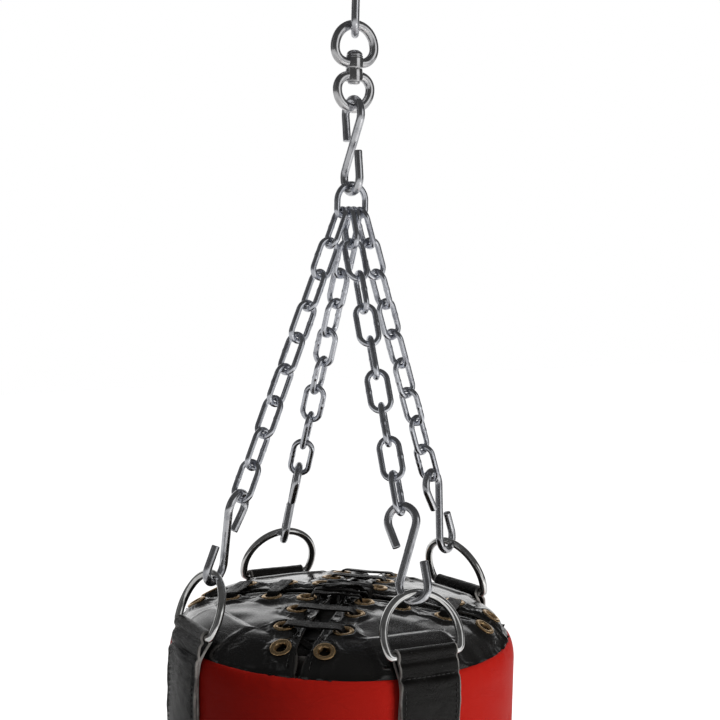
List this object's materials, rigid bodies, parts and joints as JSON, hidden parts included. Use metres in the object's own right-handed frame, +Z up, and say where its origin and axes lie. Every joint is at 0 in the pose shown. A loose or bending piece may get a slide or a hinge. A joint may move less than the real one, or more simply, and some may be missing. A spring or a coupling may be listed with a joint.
{
  "type": "hanging punching bag",
  "caption": "Cylindrical heavy bag with a laced domed top, hung by chains, S-hooks, D-rings and a swivel from one hook.",
  "frame": {"origin": "inner crown of the top hook, where the bag hangs", "axes": "+Z up along the line of pull, +X to the right, -Y to the front"},
  "size_m": [0.3102, 0.3102, 1.5591],
  "materials": {
    "red_leather": "semi-gloss coated split leather",
    "black_leather": "glossy coated leather",
    "strap_leather": "semi-gloss coated leather, raw cut edges",
    "tongue_leather": "matt leather",
    "lace": "flat black lace",
    "brass": "polished rolled eyelet",
    "foam": "closed-cell foam sheet",
    "textile_filling": "packed textile offcuts",
    "chain_steel": "zinc-plated welded chain",
    "hook_steel": "chrome-plated bent round bar",
    "polished_steel": "chrome-plated welded ring"
  },
  "bodies": {
    "hanger": {"hanger_hook": "hook_steel"},
    "upper_ring": {"swivel_upper_ring": "hook_steel"},
    "lower_ring": {"swivel_lower_ring": "hook_steel", "swivel_pin": "hook_steel", "swivel_washer": "hook_steel"},
    "bag": {"main_hook": "hook_steel", "collector_ring": "hook_steel", "side_cover": "red_leather", "bottom_panel": "black_leather", "foam_lining": "foam", "filling": "textile_filling", "tongue": "tongue_leather", "lace_left_right": "lace", "lace_front_back": "lace", "lace_knot": "lace", "top_flap_front": "black_leather", "eyelets_front": "brass", "strap_front": "strap_leather", "top_flap_left": "black_leather", "eyelets_left": "brass", "strap_left": "strap_leather", "top_flap_back": "black_leather", "eyelets_back": "brass", "strap_back": "strap_leather", "top_flap_right": "black_leather", "eyelets_right": "brass", "strap_right": "strap_leather"},
    "leg_front": {"chain_front": "chain_steel", "hook_front": "hook_steel"},
    "ring_front": {"d_ring_front": "polished_steel"},
    "leg_left": {"chain_left": "chain_steel", "hook_left": "hook_steel"},
    "ring_left": {"d_ring_left": "polished_steel"},
    "leg_back": {"chain_back": "chain_steel", "hook_back": "hook_steel"},
    "ring_back": {"d_ring_back": "polished_steel"},
    "leg_right": {"chain_right": "chain_steel", "hook_right": "hook_steel"},
    "ring_right": {"d_ring_right": "polished_steel"}
  },
  "joints": [
    {"name": "upper_ring_swing", "type": "hinge", "parent": "hanger", "child": "upper_ring", "pos_m": [0, 0, -0.0667], "axis": [1, 0, 0], "range_deg": [-30, 30]},
    {"name": "swivel_spin", "type": "hinge", "parent": "upper_ring", "child": "lower_ring", "pos_m": [0, 0, -0.1028], "axis": [0, 0, 1], "continuous": true},
    {"name": "main_hook_swing", "type": "hinge", "parent": "lower_ring", "child": "bag", "pos_m": [0, 0, -0.1284], "axis": [0, 1, 0], "range_deg": [-30, 30]},
    {"name": "leg_front_twist", "type": "hinge", "parent": "bag", "child": "leg_front", "pos_m": [-0.00305, 0.00212, -0.22122], "axis": [0.0116, 0.3815, 0.9243], "range_deg": [-2, 2]},
    {"name": "d_ring_front_tilt", "type": "hinge", "parent": "bag", "child": "ring_front", "pos_m": [-0.00741, -0.14131, -0.56873], "axis": [0.9986, -0.0523, 0], "range_deg": [-0.45, 0.45]},
    {"name": "leg_left_twist", "type": "hinge", "parent": "bag", "child": "leg_left", "pos_m": [-0.0084, -0.00004, -0.2208], "axis": [0.3572, -0.0067, 0.934], "range_deg": [-3, 3]},
    {"name": "d_ring_left_tilt", "type": "hinge", "parent": "bag", "child": "ring_left", "pos_m": [-0.14148, 0.00247, -0.56873], "axis": [-0.0175, -0.9998, 0], "range_deg": [-0.45, 0.45]},
    {"name": "leg_back_twist", "type": "hinge", "parent": "bag", "child": "leg_back", "pos_m": [0.00305, -0.00212, -0.22122], "axis": [-0.0181, -0.3811, 0.9244], "range_deg": [-2, 2]},
    {"name": "d_ring_back_tilt", "type": "hinge", "parent": "bag", "child": "ring_back", "pos_m": [0.00987, 0.14116, -0.56873], "axis": [-0.9976, 0.0698, 0], "range_deg": [-0.45, 0.45]},
    {"name": "leg_right_twist", "type": "hinge", "parent": "bag", "child": "leg_right", "pos_m": [0.0084, -0.00036, -0.22081], "axis": [-0.3526, -0.0604, 0.9338], "range_deg": [-3, 3]},
    {"name": "d_ring_right_tilt", "type": "hinge", "parent": "bag", "child": "ring_right", "pos_m": [0.13976, 0.02213, -0.56873], "axis": [-0.1564, 0.9877, 0], "range_deg": [-0.45, 0.45]}
  ]
}
